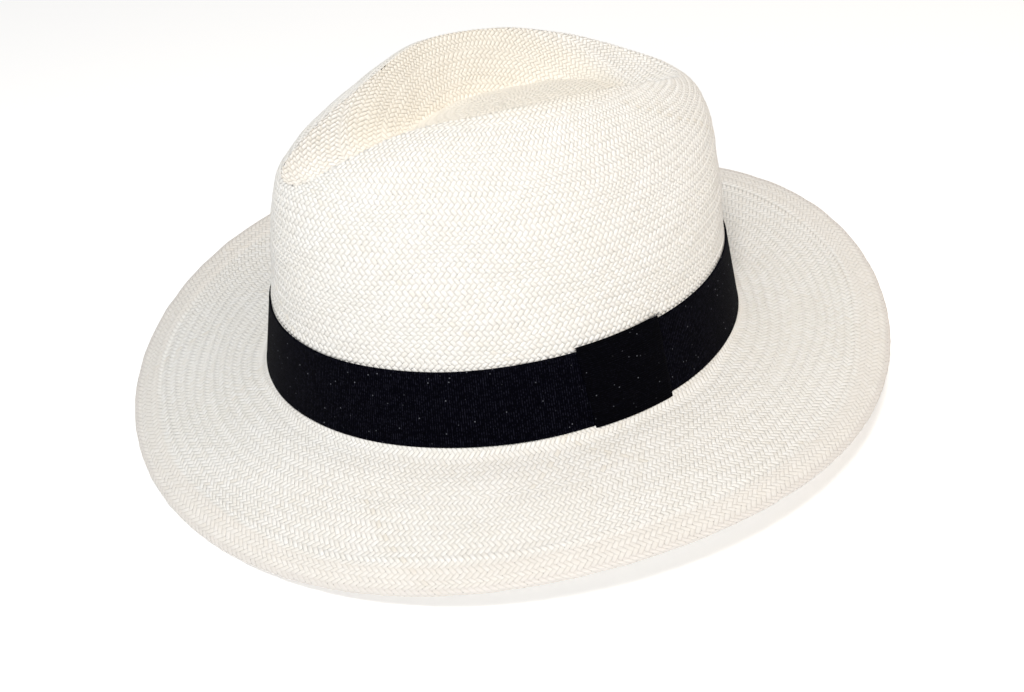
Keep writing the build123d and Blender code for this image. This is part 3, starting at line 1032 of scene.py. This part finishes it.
def keeper_path():
    """The keeper's section, from its upper lip over the front to its lower lip: out and height."""
    top, bottom = BAND_TOP + KEEPER_PROUD + KEEPER_LIP, BAND_BOTTOM - KEEPER_PROUD
    corner, tucked_in = KEEPER_CORNER, 0.55

    def fold(centre, first, last):
        angles = [radians(angle) for angle in np.linspace(first, last, 7)]
        return [(KEEPER_OUT - corner + corner * cos(a), centre + corner * sin(a)) for a in angles]

    front = [(KEEPER_OUT, height) for height in np.linspace(top - corner, bottom + corner, 24)[1:-1]]
    path = [(tucked_in, top - 0.1)] + fold(top - corner, 90, 0) + front
    return np.array(path + fold(bottom + corner, 0, -90) + [(tucked_in, bottom + 0.05)])


def keeper():
    path = keeper_path()
    lengths = running_total(step_lengths(path))
    ribs = int(lengths[-1] / RIB_PITCH)
    along = np.linspace(0, lengths[-1], 4 * ribs + 1)
    out = np.interp(along, lengths, path[:, 0])
    height = np.interp(along, lengths, path[:, 1])
    slope_out, slope_height = np.gradient(out), np.gradient(height)
    size = np.hypot(slope_out, slope_height)
    normal_out, normal_height = -slope_height / size, slope_out / size
    rib = RIB_DEPTH * rib_height(np.arange(4 * ribs + 1) / 4)
    across = np.concatenate([[0, 0.006, 0.02], np.linspace(0.05, 0.95, 23), [0.98, 0.994, 1.0]])
    rounding = -0.22 * (np.exp(-across / 0.008) + np.exp(-(1 - across) / 0.008))
    billow = 0.18 * np.sin(pi * across) * np.sin(pi * along / lengths[-1])[:, None]
    down = np.clip((KEEPER_TOP - height) / (KEEPER_TOP - KEEPER_LOW), -0.1, 1.1)
    front = KEEPER_FRONT_TOP + (KEEPER_FRONT_LOW - KEEPER_FRONT_TOP) * down
    back = KEEPER_BACK_TOP + (KEEPER_BACK_LOW - KEEPER_BACK_TOP) * down
    front = front + 0.10 * np.sin(along * 0.9)
    back = back + 0.12 * np.sin(along * 0.7 + 1)
    y = front[:, None] + (back - front)[:, None] * across[None, :]
    droop = -0.9 * smooth_step((down - 0.75) / 0.25)[:, None] * (across[None, :] - 0.35)

    def side(depth):
        move = depth + rounding[None, :] + billow
        grow = out[:, None] + normal_out[:, None] * move
        z = height[:, None] + normal_height[:, None] * move + droop
        return wall_point(left_turn(y, z, grow), z, grow)

    outer = side(rib[:, None] - RIB_DEPTH)
    inner = side(-0.55 - 2 * rounding[None, :])
    return thick_sheet("band_keeper_woven", outer[:, ::-1], inner[:, ::-1], 1 / RIB_PITCH)


def keeper_fray():
    """A few loose ribbon threads at the keeper's upper back corner."""
    random = np.random.default_rng(41)
    paths = []
    for k in range(26):
        y = KEEPER_BACK_TOP - 3.6 + 4.4 * k / 25 + random.normal(0, 0.15)
        length = 1.0 + 1.1 * random.random()
        lean, curl = random.normal(0.4, 0.5), random.normal(0, 0.5)
        share = np.linspace(0, 1, 6)
        height = KEEPER_TOP - 0.5 + length * share * 0.75
        across = y + lean * share + curl * share**2
        grow = KEEPER_OUT - 0.5 - 0.3 * random.random() + 0.35 * share * (random.random() - 0.3)
        paths.append(wall_point(left_turn(across, height, grow), height, grow))
    return threads_object("keeper_fray", paths, FRAY_RADIUS, sides=5)


def tack_paths():
    paths = []
    share = np.linspace(0, 1, 9)
    for degrees_round in TACK_DEGREES:
        for nudge in (-0.0035, 0.0035):
            turn = radians(degrees_round) + nudge * (1 - 2 * share)
            height = BAND_TOP - 1.7 + 2.1 * np.sin(pi * share / 2)
            grow = 0.35 + 0.72 * np.cos(pi * share / 2) ** 0.6
            paths.append(wall_point(turn, height, grow))
    return paths


# ---- hem stitches -------------------------------------------------------------------------------
def hem_paths():
    """Running stitches under the brim, just inside the turned edge."""
    paths = []
    share = np.linspace(0, 1, 11)
    random = np.random.default_rng(3)
    for index in range(HEM_STITCHES):
        middle = 2 * pi * index / HEM_STITCHES
        half = 0.0165 * (1 + random.normal(0, 0.05))
        turn = middle + half * (2 * share - 1)
        inset = HEM_WIDTH + 0.9 + random.normal(0, 0.12) + random.normal(0, 0.15) * (share - 0.5)
        places = brim_point(turn, edge_reach(turn) - inset)
        ahead = brim_point(turn + 0.01, edge_reach(turn + 0.01) - inset) - places
        inward = brim_point(turn, edge_reach(turn) - inset - 1.0) - places
        normal = unit(np.cross(ahead, inward))
        drop = STRAW + 0.42 * np.sin(pi * share) ** 0.5 - 0.25
        paths.append(places - normal * drop[:, None])
    return paths


# ---- sweatband ----------------------------------------------------------------------------------
def sweatband_wave(turn):
    return 0.35 * np.sin(5 * turn + 0.7) + 0.22 * np.sin(9 * turn + 2.0)


def sweatband_leather():
    """Leather strip; its top edge is cut clean and its foot is turned out over the reed."""
    turn = round_from_back(SWEAT_COLUMNS)[1]
    wave = sweatband_wave(turn)
    profile = [(-1.50, 3.0), (-1.50, 12.0), (-1.50, 22.0), (-1.52, 32.0), (-1.58, 33.2),
               (-1.80, 33.5), (-2.20, 33.5), (-2.40, 33.2), (-2.45, 32.0)]
    profile += [(-2.45 - 0.1 * sin(pi * z / 34), z) for z in np.linspace(29.5, 6.0, 10)]
    profile += [(-2.55, 4.4), (-2.72, 3.6), (-2.62, 2.9), (-2.75, 2.0), (-3.15, 1.2)]
    for degrees_round in range(-25, 200, 25):
        a = radians(degrees_round)
        profile.append((REED_OUT - 1.22 * cos(a), -0.1 - 1.22 * sin(a)))
    inner = [(REED_OUT + 1.08, 0.2), (REED_OUT + 0.55, 1.05), (-2.45, 1.35), (-2.05, 2.0)]
    profile = profile[:-1] + inner
    sections = []
    for out, height in profile:
        free = smooth_step((height - 8) / 20)
        sections.append(wall_point(turn, height, out - free * 0.35 * np.abs(wave)))
    rows = running_total(step_lengths(np.array(sections)).mean(1))
    return hoop("sweatband_leather", sections, rows, LEATHER_CELLS)


def reed_tube():
    turn = round_from_back(SWEAT_COLUMNS)[1]
    radius = REED_RADIUS + 0.04 * np.sin(160 * turn)
    angles = -2 * pi * np.arange(REED_SIDES) / REED_SIDES
    sections = [
        wall_point(turn, REED_RADIUS * sin(a), REED_OUT + radius * cos(a)) for a in angles
    ]
    return hoop("sweatband_reed_cord", sections, range(REED_SIDES), LEATHER_CELLS)


def sweat_stitch_paths():
    paths = []
    share = np.linspace(0, 1, 9)
    for index in range(SWEAT_STITCHES):
        middle = 2 * pi * index / SWEAT_STITCHES
        turn = middle + 0.019 * (2 * share - 1)
        height = 3.35 + 0.10 * np.sin(11 * middle) + 0.05 * (2 * share - 1)
        paths.append(wall_point(turn, height, -2.62 - 0.30 * np.sin(pi * share) ** 0.5))
    return paths


def trim_strip(name, centre_x, width, bottom, top, depth, scale, columns, rows):
    """A small flat trim inside the back of the sweatband, following its curve."""
    xs = centre_x + width * (np.linspace(0, 1, columns) - 0.5)
    zs = np.linspace(bottom, top, rows)
    x, z = np.meshgrid(xs, zs)
    edge = np.minimum(np.minimum(x - xs[0], xs[-1] - x), np.minimum(z - bottom, top - z))
    soft = 0.12 * np.exp(-edge / 0.35)
    ripple = 0.05 * np.sin(z * 0.9 + x * 0.4)

    def face(grow):
        return wall_point(pi - np.arcsin(x / wall_half_width(z, grow)), z, grow)

    outer = face(-2.70 - depth + soft + ripple)
    inner = face(-2.62 - soft)
    return thick_sheet(name, outer, inner, scale)


def ribbon_loop(name, path, width, thickness, tilt=0.0):
    """A narrow ribbon standing on its edge along a level path; width runs up and down."""
    outward = unit(np.cross(unit(np.gradient(path, axis=0)), [0, 0, 1.0]))
    levels = np.linspace(-0.5, 0.5, 9) * width
    edge = 1 - 0.6 * np.exp(-(width / 2 - np.abs(levels)) / 0.12)
    cup = 0.10 * (2 * np.abs(levels) / width) ** 2
    up = np.array([0, 0, 1.0]) * np.ones((len(path), 1))
    places = path[:, None] + up[:, None] * levels[None, :, None]
    places = places + outward[:, None] * (tilt * levels + cup)[None, :, None]
    shift = outward[:, None] * (edge * thickness / 2)[None, :, None]
    return thick_sheet(name, (places + shift)[:, ::-1], (places - shift)[:, ::-1], 1 / BOW_RIB)


def bow_pieces():
    back = float(wall_point(np.array([pi]), BOW_HEIGHT, -3.75)[0, 1])
    middle = back - 1.9
    pieces = []
    for side, hand in ((-1, "right"), (1, "left")):
        angle = np.linspace(-pi + 0.25, pi - 0.25, 41)
        swell = 1 + 0.08 * np.cos(2 * angle)
        x = side * (6.6 + 6.3 * np.cos(angle) * swell)
        y = middle + 1.75 * np.sin(angle)
        z = BOW_HEIGHT + 0.35 * np.sin(angle) * side + 0.02 * np.abs(x)
        path = np.stack([x, y, z], -1)[::side]
        pieces.append(ribbon_loop("bow_loop_" + hand, path, width=3.9, thickness=0.42, tilt=0.06))
        t = np.linspace(0, 1, 14)
        tail_x = side * (1.0 + 8.5 * t)
        tail_y = middle + 1.0 - 0.9 * np.sin(pi * t) + 0.5 * t
        tail_z = BOW_HEIGHT - 0.6 - 5.2 * t**1.3
        tail = np.stack([tail_x, tail_y, tail_z], -1)[::side]
        pieces.append(ribbon_loop("bow_tail_" + hand, tail, width=3.6, thickness=0.36))
    angle = np.linspace(-0.1, 2 * pi - 0.35, 37)
    knot_y = middle + 1.95 * np.sin(angle)
    knot_z = BOW_HEIGHT + 2.35 * np.cos(angle)
    levels = np.linspace(-1.5, 1.5, 9)
    pinch = 1 + 0.10 * (levels / 1.5) ** 2

    def shell(grow):
        x = np.broadcast_to(levels, (len(angle), len(levels)))
        y = middle + (knot_y - middle)[:, None] * pinch + grow * np.sin(angle)[:, None]
        z = BOW_HEIGHT + (knot_z - BOW_HEIGHT)[:, None] * pinch + grow * np.cos(angle)[:, None]
        return np.stack([x, y, z], -1)

    pieces.append(thick_sheet("bow_knot", shell(0.2), shell(-0.2), 1 / BOW_RIB))
    return pieces


# ---- build --------------------------------------------------------------------------------------
straw = straw_material()
finish_piece(straw_brim(), straw, "straw", "straw_body")
finish_piece(straw_crown(), straw, "straw", "straw_body")

cotton = thread_material("cotton_thread", (0.93, 0.90, 0.83), (0.78, 0.73, 0.62))
black_thread = thread_material("black_thread", (0.004, 0.004, 0.006), (0.002, 0.002, 0.003), 0.05)
loose_thread = thread_material("loose_ribbon_thread", (0.30, 0.29, 0.28), (0.06, 0.06, 0.07))
grosgrain = ribbon_material("black_grosgrain", (0.0003, 0.0003, 0.0014), (0.5, 0.55, 0.7), rib_highlight=1.0)
keeper_grosgrain = ribbon_material(
    "black_grosgrain_level", (0.0004, 0.0004, 0.0010), (0.5, 0.55, 0.7), level_ribs=True
)
bow_ribbon = ribbon_material("bow_ribbon", (0.008, 0.008, 0.011), (0.5, 0.5, 0.6))
leather = leather_material("tanned_leather", (0.60, 0.44, 0.285), (0.50, 0.355, 0.215))
reed_leather = leather_material("reed_cover_leather", (0.53, 0.385, 0.245), (0.44, 0.31, 0.19))
tape_cloth = woven_tape_material("woven_seam_tape", (0.56, 0.42, 0.29), (0.42, 0.30, 0.19))
tab_cloth = woven_tape_material("satin_tab", (0.93, 0.91, 0.86), (0.80, 0.77, 0.70))

finish_piece(
    threads_object("hem_stitches", hem_paths(), STITCH_RADIUS), cotton, "straw_thread",
    "hem_stitching",
)
band = finish_piece(ribbon_band(), grosgrain, "band_ribbon", "ribbon_band")
keeper_piece = finish_piece(keeper(), keeper_grosgrain, "band_ribbon", "band_keeper")
fray = finish_piece(keeper_fray(), loose_thread, "band_ribbon", "band_keeper")
finish_piece(
    threads_object("band_tack_threads", tack_paths(), TACK_RADIUS), black_thread, "black_thread",
    "band_tacks",
)
sweat = finish_piece(sweatband_leather(), leather, "sweat_leather", "sweatband")
finish_piece(reed_tube(), reed_leather, "reed_cover", "sweatband_reed")
finish_piece(
    threads_object("sweatband_stitches", sweat_stitch_paths(), STITCH_RADIUS), cotton,
    "straw_thread", "sweatband_stitching",
)
finish_piece(
    trim_strip("seam_tape_woven", centre_x=0.0, width=8.0, bottom=5.5, top=32.5, depth=0.42,
               scale=1 / 0.6, columns=17, rows=46),
    tape_cloth, "seam_tape", "sweatband_seam_tape",
)
tab = finish_piece(
    trim_strip("size_tab_blank", centre_x=17.0, width=12.0, bottom=9.0, top=24.0, depth=0.40,
               scale=1 / 0.35, columns=25, rows=31),
    tab_cloth, "tab", "size_tab",
)
for bow_piece in bow_pieces():
    finish_piece(bow_piece, bow_ribbon, "bow_ribbon", "sweatband_bow")

# ---- stage, light and camera --------------------------------------------------------------------
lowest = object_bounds()[0][2]
floor_mesh = bpy.data.meshes.new("floor")
floor_corners = [(x * FLOOR_REACH, y * FLOOR_REACH, 0) for x, y in ((-1, -1), (1, -1), (1, 1), (-1, 1))]
floor_mesh.from_pydata(floor_corners, [], [(0, 1, 2, 3)])
floor = bpy.data.objects.new("floor", floor_mesh)
floor.location = (0, 0, lowest - FLOOR_GAP)
bpy.context.scene.collection.objects.link(floor)
pale = Shader("pale_floor").set(
    Base_Color=(0.9, 0.9, 0.9, 1), Roughness=1.0, Specular_IOR_Level=0.0,
    Emission_Color=(1.0, 1.0, 1.0, 1), Emission_Strength=0.37,
)
floor_mesh.materials.append(pale)

world = bpy.data.worlds.new("studio")
bpy.context.scene.world = world
world.use_nodes = True
background = world.node_tree.nodes["Background"]
background.inputs["Color"].default_value = (0.84, 0.92, 1.0, 1)
background.inputs["Strength"].default_value = 0.19


def direction(azimuth, elevation):
    """Out from the hat; azimuth is a turn in degrees."""
    a, e = radians(azimuth), radians(elevation)
    return Vector((sin(a) * cos(e), -cos(a) * cos(e), sin(e)))


def area_light(name, azimuth, elevation, distance, size, power, colour):
    data = bpy.data.lights.new(name, "AREA")
    data.shape = "DISK"
    data.size = size
    data.energy = power
    data.color = colour
    light = bpy.data.objects.new(name, data)
    away = direction(azimuth, elevation)
    light.location = Vector((0, 0, 0.03)) + away * distance
    light.rotation_euler = away.to_track_quat("Z", "Y").to_euler()
    bpy.context.scene.collection.objects.link(light)


area_light("key", azimuth=56, elevation=60, distance=1.6, size=0.5, power=22.4,
           colour=(1.0, 0.985, 0.96))
area_light("warm_right", azimuth=150, elevation=40, distance=1.6, size=0.9, power=2.8,
           colour=(1.0, 0.64, 0.28))

CAMERA_AZIMUTH = 60.6
CAMERA_ELEVATION = 32.4
CAMERA_ROLL = -3.57
CAMERA_DISTANCE = 0.809
CAMERA_TARGET = Vector((0.0038, 0.0004, -0.0083))
LENS = 67.1
camera_data = bpy.data.cameras.new("camera")
camera_data.sensor_width = 36.0
camera_data.lens = LENS
camera_data.clip_start = 0.01
camera = bpy.data.objects.new("camera", camera_data)
away = direction(CAMERA_AZIMUTH, CAMERA_ELEVATION)
camera.location = CAMERA_TARGET + away * CAMERA_DISTANCE
camera.rotation_euler = (
    away.to_track_quat("Z", "Y").to_matrix() @ Matrix.Rotation(radians(CAMERA_ROLL), 3, "Z")
).to_euler()
bpy.context.scene.collection.objects.link(camera)
bpy.context.scene.camera = camera
bpy.context.scene.view_settings.view_transform = "Standard"
